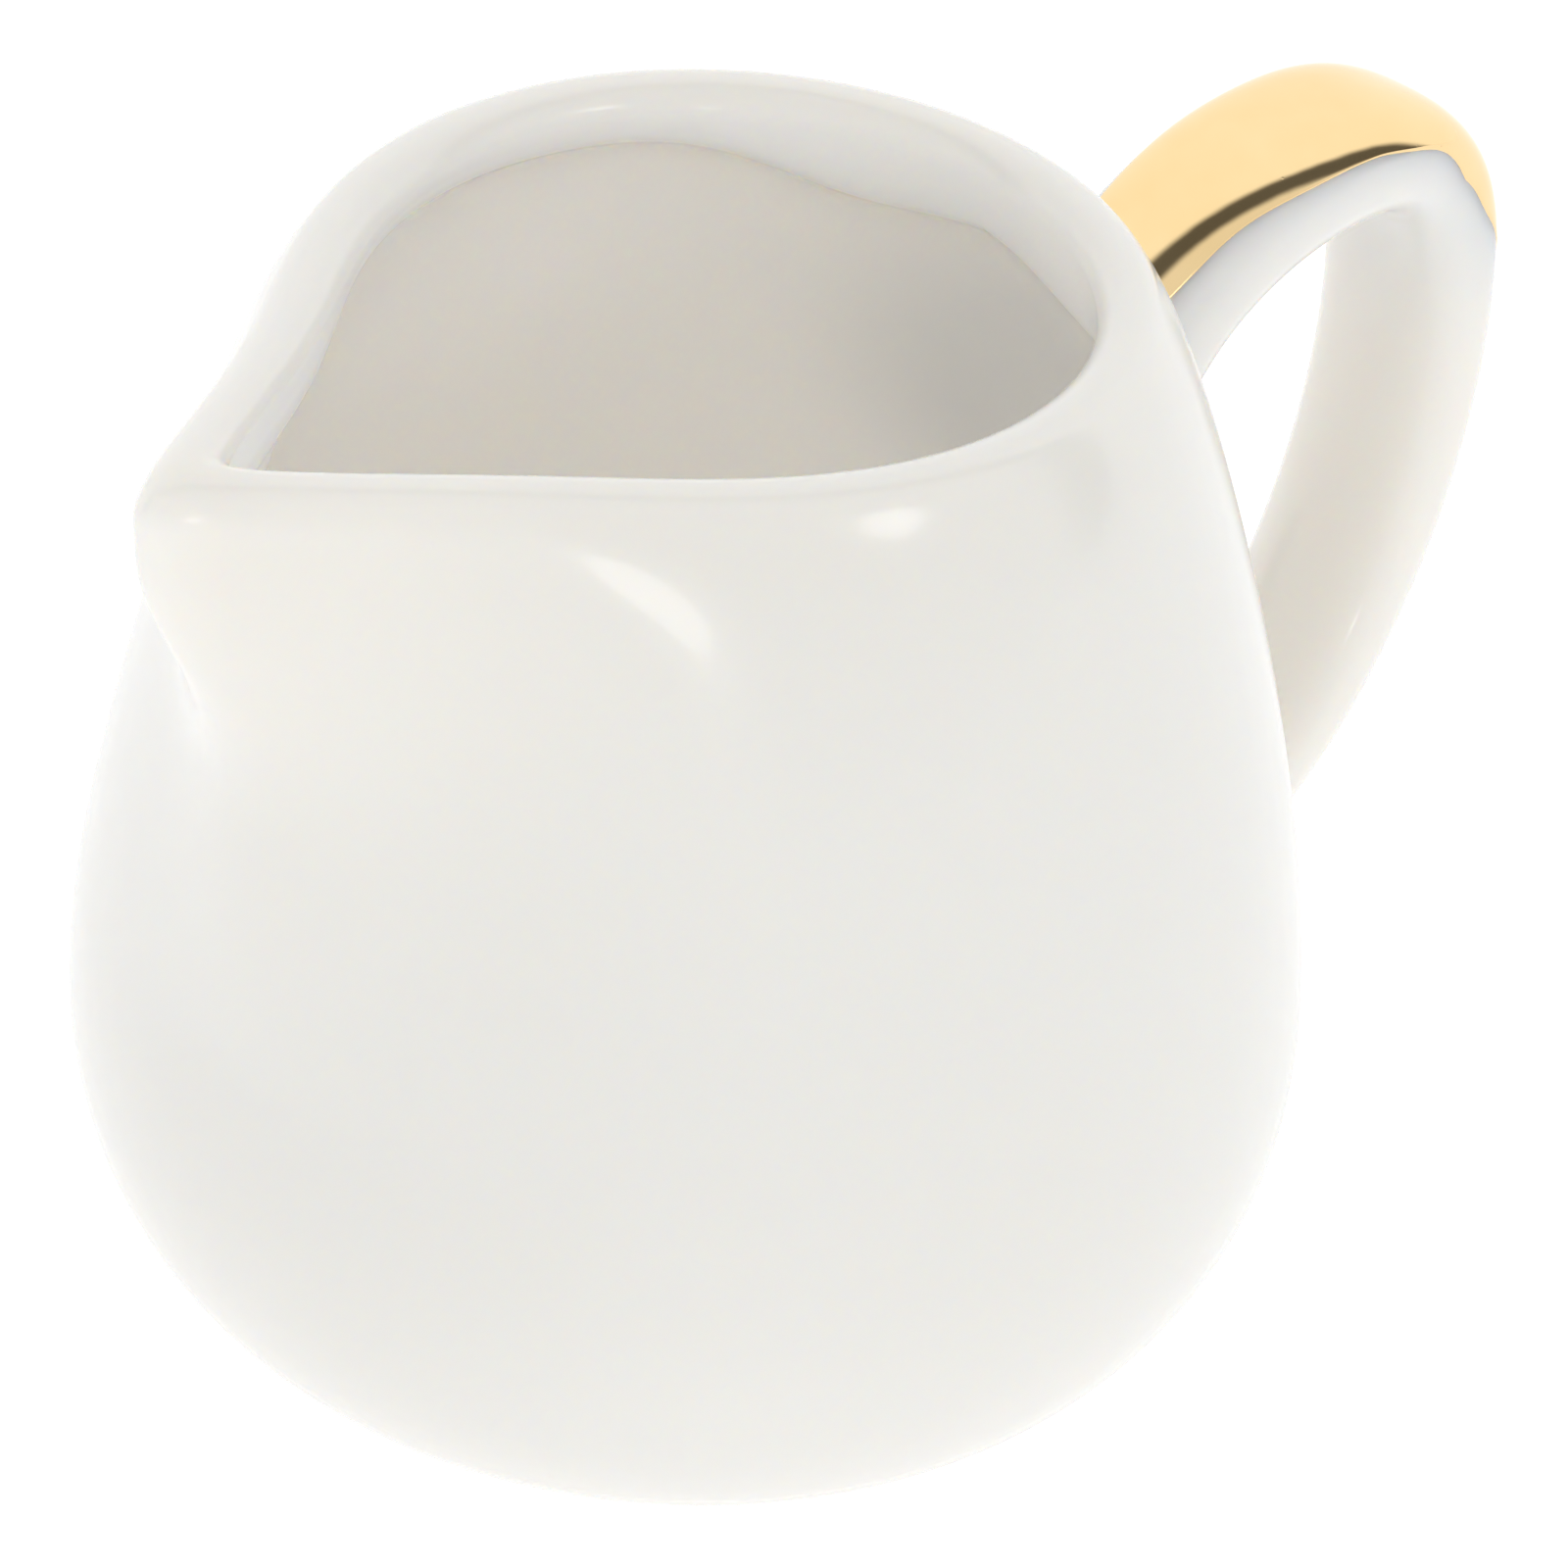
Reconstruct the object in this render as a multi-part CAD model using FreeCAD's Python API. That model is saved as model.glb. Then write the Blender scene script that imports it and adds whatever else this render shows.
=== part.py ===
import FreeCAD, Part
import math
import os

# Porcelain cream jug, in millimetres.  The origin is the centre of the foot, on the
# table.  +Z is up, the spout points along -X and the handle along +X.

# Driving dimensions of the cast body
belly_radius = 37.0
belly_height = 22.1
rim_radius = 23.9
rim_height = 70.8
foot_radius = 18.7
foot_height = 1.1
wall = 3.2
floor_top = 5.0
glaze = 0.25

# Outside outline: handles of the two curves that meet at the belly
foot_flare = 11.2
belly_pull_low = 12.2
belly_pull_high = 12.7
neck_pull = 7.3

# Inside outline
inner_floor_radius = 17.5
inner_floor_flare = 10.0
inner_pull_low = 10.3
inner_pull_high = 12.0
inner_neck_pull = 9.0

# Rolled rim: a part circle, thicker at the spout
rim_thickness = 3.8
rim_gain_at_spout = 1.62
rim_arc_start = math.radians(38.0)
rim_arc_end = math.radians(200.0)

# Spout, drawn out of the round shoulder
spout_reach = 18.7
spout_rise = 2.3
spout_spread = 0.273
spout_tip_rounding = 0.033
spout_start_height = 31.0
spout_flow = 1.23

# Foot ring
foot_ring_width = 3.0
foot_ring_edge = 0.4

# Handle: the middle line is four curves in the XZ plane, joined where it leaves the wall, at
# its crest, at its outermost point and at its lowest point.  Each place has the way that the
# line runs there, and how far that way the curve before and the curve after are pulled.
handle_start = (27.0, 47.0)
handle_start_rise = math.radians(50.0)
handle_start_pull = 9.0
handle_crest = (50.5, 60.6)
handle_crest_pulls = (12.0, 9.0)
handle_outermost = (63.3, 43.4)
handle_outermost_pulls = (11.5, 15.0)
handle_lowest = (42.0, 11.8)
handle_lowest_pulls = (12.0, 4.0)
handle_end = (30.0, 13.6)
handle_end_rise = math.radians(12.0)
handle_end_pull = 4.0
handle_joins = (0.24, 0.54, 0.93)

# The oval section, at the upper and the lower end
handle_half_width = (6.3, 5.4)
handle_half_depth = (4.1, 3.3)
handle_roundness = 2.6
handle_swell = 0.6
handle_swell_length = 5.0

# Slip joints at the two ends of the handle
joint_reach = 2.0
joint_length = 1.4
joint_thinning = 0.06

# Gold on the handle's outer face.  The edge depths are shares of the section's half
# depth: below the middle line at the wall, over the top of the section past the bend.
gold_thickness = 0.15
gold_start = 0.085
gold_end = 0.56
gold_edge_depth = (-0.35, 1.0)
gold_edge_bend = 1.3
gold_clearance = 5.0

# How finely the curved skins are drawn
ring_points = 64
outline_steps = 14
rim_steps = 7
handle_rings = 46
handle_ring_points = 32


def bezier(p0, p1, p2, p3, t):
    """A point on a cubic curve, as (radius, height)."""
    s = 1.0 - t
    weights = (s * s * s, 3 * s * s * t, 3 * s * t * t, t * t * t)
    points = (p0, p1, p2, p3)
    return tuple(sum(w * p[axis] for w, p in zip(weights, points)) for axis in (0, 1))


def curve_points(p0, p1, p2, p3, steps):
    """Points along a cubic curve, the first left out."""
    return [bezier(p0, p1, p2, p3, (i + 1) / steps) for i in range(steps)]


def spout_share(angle):
    """1 at the spout, fading to 0 round the rim.  The angle is from the spout, in radians."""
    soft = math.hypot(angle, spout_tip_rounding) - spout_tip_rounding
    return math.exp(-soft / spout_spread)


def spout_growth(height):
    """0 below the spout, 1 at the rim."""
    rise = (height - spout_start_height) / (rim_height - rim_thickness / 2 - spout_start_height)
    return min(1.0, max(0.0, rise)) ** spout_flow


def ring_angles():
    """Angles from the spout, closer together near the spout."""
    angles = []
    for i in range(ring_points):
        turn = -math.pi + 2 * math.pi * i / ring_points
        angles.append(turn - 0.62 * math.sin(turn))
    return angles


def place(radius, height, angle):
    return FreeCAD.Vector(-radius * math.cos(angle), -radius * math.sin(angle), height)


def outline_outside():
    """Outline from the foot's edge to the rim, as (radius, height)."""
    half = rim_thickness / 2
    middle = rim_radius - half
    level = rim_height - half
    start = (foot_radius, foot_height)
    belly = (belly_radius, belly_height)
    top = (middle + half * math.cos(rim_arc_start), level + half * math.sin(rim_arc_start))
    below_top = (
        top[0] + neck_pull * math.sin(rim_arc_start),
        top[1] - neck_pull * math.cos(rim_arc_start))
    flared = (foot_radius + foot_flare, foot_height + 0.15 * foot_flare)
    lower = curve_points(start, flared, (belly_radius, belly_height - belly_pull_low), belly, outline_steps)
    upper = curve_points(belly, (belly_radius, belly_height + belly_pull_high), below_top, top, outline_steps)
    return [start] + lower + upper


def outline_inside():
    """Outline from under the rim down to the floor, as (radius, height)."""
    half = rim_thickness / 2
    middle = rim_radius - half
    level = rim_height - half
    inner_belly = belly_radius - wall
    top = (middle + half * math.cos(rim_arc_end), level + half * math.sin(rim_arc_end))
    below_top = (
        top[0] - inner_neck_pull * math.sin(rim_arc_end),
        top[1] + inner_neck_pull * math.cos(rim_arc_end))
    belly = (inner_belly, belly_height)
    flared = (inner_floor_radius + inner_floor_flare, floor_top + 0.2)
    end = (inner_floor_radius, floor_top)
    upper = curve_points(top, below_top, (inner_belly, belly_height + inner_pull_high), belly, outline_steps)
    lower = curve_points(belly, (inner_belly, belly_height - inner_pull_low), flared, end, outline_steps)
    return upper + lower


def inset_outline(outline, inset):
    """The same outline moved to its left by the inset."""
    moved = []
    for i, (radius, height) in enumerate(outline):
        before = outline[max(0, i - 1)]
        after = outline[min(len(outline) - 1, i + 1)]
        along = (after[0] - before[0], after[1] - before[1])
        length = math.hypot(*along)
        moved.append((radius - inset * along[1] / length, height + inset * along[0] / length))
    return moved


def wall_ring(radius, height, reach, angles):
    """A ring at one height, drawn out to the spout by its share of the reach."""
    growth = spout_growth(height)
    return [
        place(radius + reach * growth * spout_share(a), height + spout_rise * growth * spout_share(a), a)
        for a in angles]


def rim_ring(turn, inset, angles):
    """A ring at one turn round the rolled rim: 0 faces outward, a quarter turn is the top."""
    half = rim_thickness / 2
    extra = half * (rim_gain_at_spout - 1)
    ring = []
    for a in angles:
        share = spout_share(a)
        thick = half - inset + extra * share
        centre = rim_radius - half + (spout_reach - extra * math.cos(rim_arc_start)) * share
        level = rim_height - half + spout_rise * share
        ring.append(place(centre + thick * math.cos(turn), level + (half - inset) * math.sin(turn), a))
    return ring


def skin_rings(inset):
    """Rings of points from the foot's edge, over the rim and down to the floor."""
    angles = ring_angles()
    outside = inset_outline(outline_outside(), inset)
    outside[0] = (foot_radius - inset, foot_height)
    inside = inset_outline(outline_inside(), inset)
    inside[-1] = (inner_floor_radius, floor_top - inset)
    extra = rim_thickness / 2 * (rim_gain_at_spout - 1)
    inner_reach = spout_reach - extra * (math.cos(rim_arc_start) - math.cos(rim_arc_end))
    rings = [wall_ring(radius, height, spout_reach, angles) for radius, height in outside]
    for i in range(1, rim_steps + 1):
        rings.append(rim_ring(blend((rim_arc_start, rim_arc_end), i / rim_steps), inset, angles))
    rings += [wall_ring(radius, height, inner_reach, angles) for radius, height in inside]
    return rings


def closed_curve(points):
    curve = Part.BSplineCurve()
    steps = [i / len(points) for i in range(len(points) + 1)]
    curve.interpolate(Points=points, PeriodicFlag=True, Parameters=steps)
    return curve.toShape()


def skin(rings, seams=()):
    """Smooth sheets through closed rings, one for each stretch between the seams."""
    wires = [Part.Wire(closed_curve(ring)) for ring in rings]
    ends = [0] + list(seams) + [len(rings) - 1]
    return [Part.makeLoft(wires[low:high + 1], False, False) for low, high in zip(ends, ends[1:])]


def flat_face(ring):
    return Part.Face(Part.Wire(closed_curve(ring)))


def closed_solid(pieces):
    """A solid from sheets that meet along their edges."""
    faces = [face for piece in pieces for face in piece.Faces]
    sewn = Part.makeShell(faces)
    sewn.sewShape(0.01)
    solid = Part.makeSolid(sewn)
    if solid.Volume < 0:
        solid.reverse()
    return solid


def body_skin(rings):
    """Outside, rolled rim and inside as three sheets."""
    rim_start = 2 * outline_steps
    return skin(rings, (rim_start, rim_start + rim_steps))


def make_body():
    """The cast body: one wall from the foot to the rolled rim, with its floor."""
    rings = skin_rings(glaze)
    return closed_solid(body_skin(rings) + [flat_face(rings[0]), flat_face(rings[-1])])


def make_body_glaze():
    """The coat over the body, inside and out, open at the foot ring."""
    outer = skin_rings(0.0)
    inner = skin_rings(glaze)
    edge = Part.Face([Part.Wire(closed_curve(outer[0])), Part.Wire(closed_curve(inner[0]))])
    floors = [flat_face(outer[-1]), flat_face(inner[-1])]
    coat = closed_solid(body_skin(outer) + body_skin(inner) + floors + [edge])
    coat.fix(0.01, 0.01, 0.1)
    return coat


def handle_curves():
    """The four curves of the middle line, each as four points."""
    start, crest, outermost, lowest, end = (
        handle_start, handle_crest, handle_outermost, handle_lowest, handle_end)
    leave = (
        start[0] + handle_start_pull * math.cos(handle_start_rise),
        start[1] + handle_start_pull * math.sin(handle_start_rise))
    arrive = (
        end[0] + handle_end_pull * math.cos(handle_end_rise),
        end[1] - handle_end_pull * math.sin(handle_end_rise))
    return [
        (start, leave, (crest[0] - handle_crest_pulls[0], crest[1]), crest),
        (crest, (crest[0] + handle_crest_pulls[1], crest[1]),
         (outermost[0], outermost[1] + handle_outermost_pulls[0]), outermost),
        (outermost, (outermost[0], outermost[1] - handle_outermost_pulls[1]),
         (lowest[0] + handle_lowest_pulls[0], lowest[1]), lowest),
        (lowest, (lowest[0] - handle_lowest_pulls[1], lowest[1]), arrive, end)]


def handle_middle(t):
    """A point of the middle line, as (x, z), from 0 at the upper end to 1 at the lower."""
    ends = (0.0,) + handle_joins + (1.0,)
    for curve, low, high in zip(handle_curves(), ends, ends[1:]):
        if t <= high:
            return bezier(*curve, (t - low) / (high - low))
    return handle_end


def handle_frames():
    """Middle points, outward directions and positions along the handle, 0 to 1."""
    step = 1e-4
    frames = []
    for i in range(handle_rings):
        t = i / (handle_rings - 1)
        x, z = handle_middle(t)
        before = handle_middle(max(0.0, t - step))
        after = handle_middle(min(1.0, t + step))
        along = FreeCAD.Vector(after[0] - before[0], 0, after[1] - before[1]).normalize()
        outward = FreeCAD.Vector(-along.z, 0, along.x)
        frames.append((FreeCAD.Vector(x, 0, z), outward, t))
    return frames


def blend(pair, t):
    return pair[0] + (pair[1] - pair[0]) * t


def rounded(value):
    """Sine or cosine reshaped so that the oval section is squarer than an ellipse."""
    return math.copysign(abs(value) ** (2 / handle_roundness), value)


def section_point(frame, turn, grow):
    """A point on the oval section.  Turn 0 is the middle of the outer face."""
    middle, outward, t = frame
    depth = (blend(handle_half_depth, t) + grow) * rounded(math.cos(turn))
    width = (blend(handle_half_width, t) + grow) * rounded(math.sin(turn))
    return middle + outward * depth + FreeCAD.Vector(0, width, 0)


def handle_solid(grow, joint=False):
    """The whole handle bar, running on into the wall at both ends."""
    outline = outline_outside()
    rings = []
    for frame in handle_frames():
        ring = []
        for k in range(handle_ring_points):
            turn = 2 * math.pi * k / handle_ring_points
            bare = section_point(frame, turn, 0.0)
            gap = max(0.0, math.hypot(bare.x, bare.y) - wall_radius(outline, bare.z))
            swell = handle_swell * math.exp(-(gap / handle_swell_length) ** 2)
            if joint:
                swell += joint_reach * math.exp(-gap / joint_length) - joint_thinning
            ring.append(section_point(frame, turn, grow + swell))
        rings.append(ring)
    return closed_solid(skin(rings) + [flat_face(rings[0]), flat_face(rings[-1])])


def wall_radius(outline, height):
    """Outside radius of the body at a height, away from the spout."""
    for low, high in zip(outline, outline[1:]):
        if low[1] <= height <= high[1]:
            return blend((low[0], high[0]), (height - low[1]) / (high[1] - low[1]))
    return outline[0][0]


def make_core():
    """The glazed body filled in solid, for cutting what is joined to its outside."""
    corners = [FreeCAD.Vector(r, 0, z) for r, z in outline_outside()]
    curve = Part.BSplineCurve()
    curve.interpolate(Points=corners)
    base = FreeCAD.Vector(0, 0, corners[0].z)
    top = FreeCAD.Vector(0, 0, corners[-1].z)
    edges = [
        Part.makeLine(base, corners[0]), curve.toShape(),
        Part.makeLine(corners[-1], top), Part.makeLine(top, base)]
    return Part.Face(Part.Wire(edges)).revolve(FreeCAD.Vector(0, 0, 0), FreeCAD.Vector(0, 0, 1), 360)


def make_foot_ring():
    """Unglazed ring that the jug stands on, face to face with the body's underside."""
    outer = foot_radius - glaze
    inner = outer - foot_ring_width
    corners = [
        (inner, foot_height), (inner, foot_ring_edge), (inner + foot_ring_edge, 0.0),
        (outer - foot_ring_edge, 0.0), (outer, foot_ring_edge), (outer, foot_height)]
    outline = [FreeCAD.Vector(r, 0, z) for r, z in corners]
    face = Part.Face(Part.makePolygon(outline + [outline[0]]))
    return face.revolve(FreeCAD.Vector(0, 0, 0), FreeCAD.Vector(0, 0, 1), 360)


def make_base_glaze():
    """Disc of glaze inside the foot ring."""
    radius = foot_radius - glaze - foot_ring_width
    return Part.makeCylinder(radius, glaze, FreeCAD.Vector(0, 0, foot_height - glaze))


def gold_region():
    """Everything above the gold's edge: low on the sides at the wall, nothing left past the bend."""
    edge = []
    sky = []
    for middle, outward, t in handle_frames():
        if gold_start <= t <= gold_end:
            share = (t - gold_start) / (gold_end - gold_start)
            depth = blend(handle_half_depth, t)
            edge.append(middle + outward * depth * blend(gold_edge_depth, share ** gold_edge_bend))
            sky.append(middle + outward * (depth + gold_clearance))
    sides = []
    for points in (edge, sky):
        curve = Part.BSplineCurve()
        curve.interpolate(Points=points)
        sides.append(curve.toShape())
    ends = [Part.makeLine(edge[0], sky[0]), Part.makeLine(edge[-1], sky[-1])]
    wire = Part.Wire(Part.__sortEdges__(sides + ends))
    across = FreeCAD.Vector(0, 4 * handle_half_width[0], 0)
    face = Part.Face(wire)
    face.translate(across * -0.5)
    return face.extrude(across)


def write(name, shape):
    """One STEP file for each piece."""
    solids = shape.Solids
    piece = solids[0] if len(solids) == 1 else Part.makeCompound(solids)
    piece.exportStep("parts/" + name + ".step")
    print(name, "solids", len(solids), "valid", piece.isValid(), "volume", round(piece.Volume, 1))


def main():
    os.makedirs("parts", exist_ok=True)
    core = make_core()
    clay_bar = handle_solid(-glaze)
    glazed_bar = handle_solid(0.0)
    collar = handle_solid(0.0, joint=True)
    joints = collar.cut(core).cut(glazed_bar).Solids
    joints.sort(key=lambda solid: solid.BoundBox.ZMin)
    gold = handle_solid(gold_thickness).common(gold_region()).cut(glazed_bar).cut(collar)
    write("vessel_body", make_body())
    write("vessel_glaze", make_body_glaze())
    write("foot_ring", make_foot_ring())
    write("base_glaze", make_base_glaze())
    write("handle", clay_bar.cut(core))
    write("handle_glaze", glazed_bar.cut(core).cut(clay_bar))
    write("lower_handle_joint", joints[0])
    write("upper_handle_joint", joints[1])
    write("handle_gilding", gold)


main()
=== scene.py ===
import math

import bmesh
import bpy
from mathutils import Matrix, Vector


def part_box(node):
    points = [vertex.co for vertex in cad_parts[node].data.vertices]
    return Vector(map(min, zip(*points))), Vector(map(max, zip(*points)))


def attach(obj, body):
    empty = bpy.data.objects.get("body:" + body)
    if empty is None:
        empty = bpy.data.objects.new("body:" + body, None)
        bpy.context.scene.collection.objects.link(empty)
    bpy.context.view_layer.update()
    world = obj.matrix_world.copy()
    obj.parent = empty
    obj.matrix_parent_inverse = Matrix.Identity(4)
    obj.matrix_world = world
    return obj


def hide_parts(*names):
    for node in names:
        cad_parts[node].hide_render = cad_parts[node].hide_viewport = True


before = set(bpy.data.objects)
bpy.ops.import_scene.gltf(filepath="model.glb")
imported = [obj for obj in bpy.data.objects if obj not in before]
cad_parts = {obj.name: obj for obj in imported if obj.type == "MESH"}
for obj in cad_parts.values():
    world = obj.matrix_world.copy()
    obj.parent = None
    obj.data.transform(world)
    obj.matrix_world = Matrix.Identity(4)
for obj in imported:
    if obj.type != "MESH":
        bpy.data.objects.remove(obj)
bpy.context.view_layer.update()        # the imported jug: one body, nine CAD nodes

# The jug stands on z = 0, spout towards -X, handle towards +X.
# Design values are millimetres of a jug 74 mm across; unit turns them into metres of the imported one.
jugLow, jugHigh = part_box("vessel_glaze")
bellyWidth = 74.0
unit = (jugHigh.y - jugLow.y) / bellyWidth


def mix(a, b, t):
    return a + (b - a) * t


def bezier(p0, p1, p2, p3, t):
    s = 1.0 - t
    return tuple(s*s*s*a + 3*s*s*t*b + 3*s*t*t*c + t*t*t*d for a, b, c, d in zip(p0, p1, p2, p3))


def smoothStep(low, high, value):
    t = min(1.0, max(0.0, (value - low) / (high - low)))
    return t * t * (3 - 2 * t)


def meshFrom(name, points, faces, material):
    # points are in design millimetres
    mesh = bpy.data.meshes.new(name)
    mesh.from_pydata([tuple(c * unit for c in p) for p in points], [], faces)
    obj = bpy.data.objects.new(name, mesh)
    bpy.context.scene.collection.objects.link(obj)
    bm = bmesh.new()
    bm.from_mesh(mesh)
    bmesh.ops.recalc_face_normals(bm, faces=bm.faces)
    bm.to_mesh(mesh)
    bm.free()
    for poly in mesh.polygons:
        poly.use_smooth = True
    mesh.materials.append(material)
    return obj


def gridFaces(rows, columns, closed):
    # quads between rows of points; a closed row joins its last point to its first
    faces = []
    for i in range(rows - 1):
        for j in range(columns if closed else columns - 1):
            k = (j + 1) % columns
            a, b = i * columns, (i + 1) * columns
            faces.append((a + j, a + k, b + k, b + j))
    return faces


def addPiece(obj, slot, *nodes):
    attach(obj, "root")
    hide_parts(*nodes)


def newMaterial(name):
    material = bpy.data.materials.new(name)
    material.use_nodes = True
    nodes = material.node_tree.nodes
    nodes.clear()
    output = nodes.new("ShaderNodeOutputMaterial")
    shader = nodes.new("ShaderNodeBsdfPrincipled")
    material.node_tree.links.new(shader.outputs["BSDF"], output.inputs["Surface"])
    return material, shader


def place(tree, kind, **values):
    # a node with its inputs set by name
    node = tree.nodes.new(kind)
    for key, value in values.items():
        if key in node.inputs:
            node.inputs[key].default_value = value
        else:
            setattr(node, key, value)
    return node


def newGroup(name, inputs, outputs):
    tree = bpy.data.node_groups.new(name, "ShaderNodeTree")
    for label, kind, value in inputs:
        socket = tree.interface.new_socket(name=label, in_out="INPUT", socket_type=kind)
        socket.default_value = value
    for label, kind in outputs:
        tree.interface.new_socket(name=label, in_out="OUTPUT", socket_type=kind)
    return tree, tree.nodes.new("NodeGroupInput"), tree.nodes.new("NodeGroupOutput")


pinholes = {
    "widest": 0.06,                      # share of the spacing that a pinhole fills
    "depth": 0.25,
}


def makeGlazeRipple():
    # the slow waviness of a melted glaze, and a few pinholes
    tree, ins, outs = newGroup(
        "glazeRipple",
        [("Wave Size", "NodeSocketFloat", 60.0), ("Pinhole Size", "NodeSocketFloat", 900.0),
         ("Tone Size", "NodeSocketFloat", 35.0),
         ("Smooth", "NodeSocketFloat", 0.14), ("Worn", "NodeSocketFloat", 0.22)],
        [("Height", "NodeSocketFloat"), ("Tone", "NodeSocketFloat"), ("Roughness", "NodeSocketFloat")])
    link = tree.links.new
    where = tree.nodes.new("ShaderNodeTexCoord")
    wave = place(tree, "ShaderNodeTexNoise", Detail=2.0, Roughness=0.45)
    link(where.outputs["Object"], wave.inputs["Vector"])
    link(ins.outputs["Wave Size"], wave.inputs["Scale"])
    pits = place(tree, "ShaderNodeTexVoronoi", Randomness=1.0)
    link(where.outputs["Object"], pits.inputs["Vector"])
    link(ins.outputs["Pinhole Size"], pits.inputs["Scale"])
    pitMask = place(tree, "ShaderNodeMapRange", clamp=True)
    pitMask.inputs["From Min"].default_value = 0.0
    pitMask.inputs["From Max"].default_value = pinholes["widest"]
    pitMask.inputs["To Min"].default_value = -pinholes["depth"]
    pitMask.inputs["To Max"].default_value = 0.0
    link(pits.outputs["Distance"], pitMask.inputs["Value"])
    height = place(tree, "ShaderNodeMath", operation="ADD")
    link(wave.outputs["Fac"], height.inputs[0])
    link(pitMask.outputs["Result"], height.inputs[1])
    link(height.outputs["Value"], outs.inputs["Height"])
    tone = place(tree, "ShaderNodeTexNoise", Detail=3.0, Roughness=0.5)
    link(where.outputs["Object"], tone.inputs["Vector"])
    link(ins.outputs["Tone Size"], tone.inputs["Scale"])
    link(tone.outputs["Fac"], outs.inputs["Tone"])
    rough = place(tree, "ShaderNodeMapRange")
    link(ins.outputs["Smooth"], rough.inputs["To Min"])
    link(ins.outputs["Worn"], rough.inputs["To Max"])
    link(tone.outputs["Fac"], rough.inputs["Value"])
    link(rough.outputs["Result"], outs.inputs["Roughness"])
    return tree


glazeRipple = makeGlazeRipple()


def useGroup(tree, group, **values):
    node = tree.nodes.new("ShaderNodeGroup")
    node.node_tree = group
    for key, value in values.items():
        node.inputs[key].default_value = value
    return node


def wireBump(tree, shader, height, strength, distance):
    bump = place(tree, "ShaderNodeBump", Strength=strength, Distance=distance)
    tree.links.new(height, bump.inputs["Height"])
    tree.links.new(bump.outputs["Normal"], shader.inputs["Normal"])


porcelainFinish = {
    "light": (0.805, 0.797, 0.775, 1.0),
    "shade": (0.785, 0.776, 0.753, 1.0),
    # painted light: the inside gets a paler, warmer colour than the outside, standing in for light that
    # would soak through the wall and brighten the hollow
    "insidePaintedLight": (0.985, 0.975, 0.955, 1.0),
    "bump": 0.05,
    "bumpHeight": 0.0002,
    "glow": 1.0,                          # how much light soaks into the thin wall
    "glowDepth": 0.007,
    "glowColours": (1.0, 0.8, 0.55),     # red soaks furthest, blue least
    "refraction": 1.5,
    "gloss": 0.25,
    "glossRoughness": 0.05,
}


def makePorcelain(name, bodyWithPaintedInside, glow):
    material, shader = newMaterial(name)
    tree = material.node_tree
    link = tree.links.new
    ripple = useGroup(tree, glazeRipple)
    colour = place(tree, "ShaderNodeMix", data_type="RGBA")
    colour.inputs["A"].default_value = porcelainFinish["shade"]
    colour.inputs["B"].default_value = porcelainFinish["light"]
    link(ripple.outputs["Tone"], colour.inputs["Factor"])
    last = colour.outputs["Result"]
    # painted light: the inside attribute mixes in the paler, warmer inside colour
    if bodyWithPaintedInside:
        inside = place(tree, "ShaderNodeAttribute", attribute_name="inside")
        paintedInsideMix = place(tree, "ShaderNodeMix", data_type="RGBA")
        paintedInsideMix.inputs["B"].default_value = porcelainFinish["insidePaintedLight"]
        link(inside.outputs["Fac"], paintedInsideMix.inputs["Factor"])
        link(last, paintedInsideMix.inputs["A"])
        last = paintedInsideMix.outputs["Result"]
    link(last, shader.inputs["Base Color"])
    link(ripple.outputs["Roughness"], shader.inputs["Roughness"])
    wireBump(tree, shader, ripple.outputs["Height"], porcelainFinish["bump"], porcelainFinish["bumpHeight"])
    shader.inputs["IOR"].default_value = porcelainFinish["refraction"]
    shader.inputs["Subsurface Weight"].default_value = glow
    if bodyWithPaintedInside:
        root = place(tree, "ShaderNodeAttribute", attribute_name="glow")
        link(root.outputs["Fac"], shader.inputs["Subsurface Weight"])
    shader.inputs["Subsurface Radius"].default_value = porcelainFinish["glowColours"]
    shader.inputs["Subsurface Scale"].default_value = porcelainFinish["glowDepth"]
    shader.inputs["Coat Weight"].default_value = porcelainFinish["gloss"]
    shader.inputs["Coat Roughness"].default_value = porcelainFinish["glossRoughness"]
    return material


goldFinish = {
    "bright": (0.95, 0.74, 0.43, 1.0),
    "deep": (0.87, 0.62, 0.29, 1.0),
    "bump": 0.12,
    "bumpHeight": 0.0002,
}


def makeGold():
    material, shader = newMaterial("brightGold")
    tree = material.node_tree
    link = tree.links.new
    ripple = useGroup(tree, glazeRipple, **{
        "Wave Size": 220.0, "Pinhole Size": 700.0, "Tone Size": 120.0, "Smooth": 0.05, "Worn": 0.1})
    colour = place(tree, "ShaderNodeMix", data_type="RGBA")
    colour.inputs["A"].default_value = goldFinish["deep"]
    colour.inputs["B"].default_value = goldFinish["bright"]
    link(ripple.outputs["Tone"], colour.inputs["Factor"])
    link(colour.outputs["Result"], shader.inputs["Base Color"])
    link(ripple.outputs["Roughness"], shader.inputs["Roughness"])
    wireBump(tree, shader, ripple.outputs["Height"], goldFinish["bump"], goldFinish["bumpHeight"])
    shader.inputs["Metallic"].default_value = 1.0
    return material


bisqueFinish = {
    "light": (0.78, 0.76, 0.71, 1.0),
    "shade": (0.70, 0.67, 0.61, 1.0),
    "bump": 0.5,
    "bumpHeight": 0.0001,
    "roughness": 0.8,
}


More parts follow.
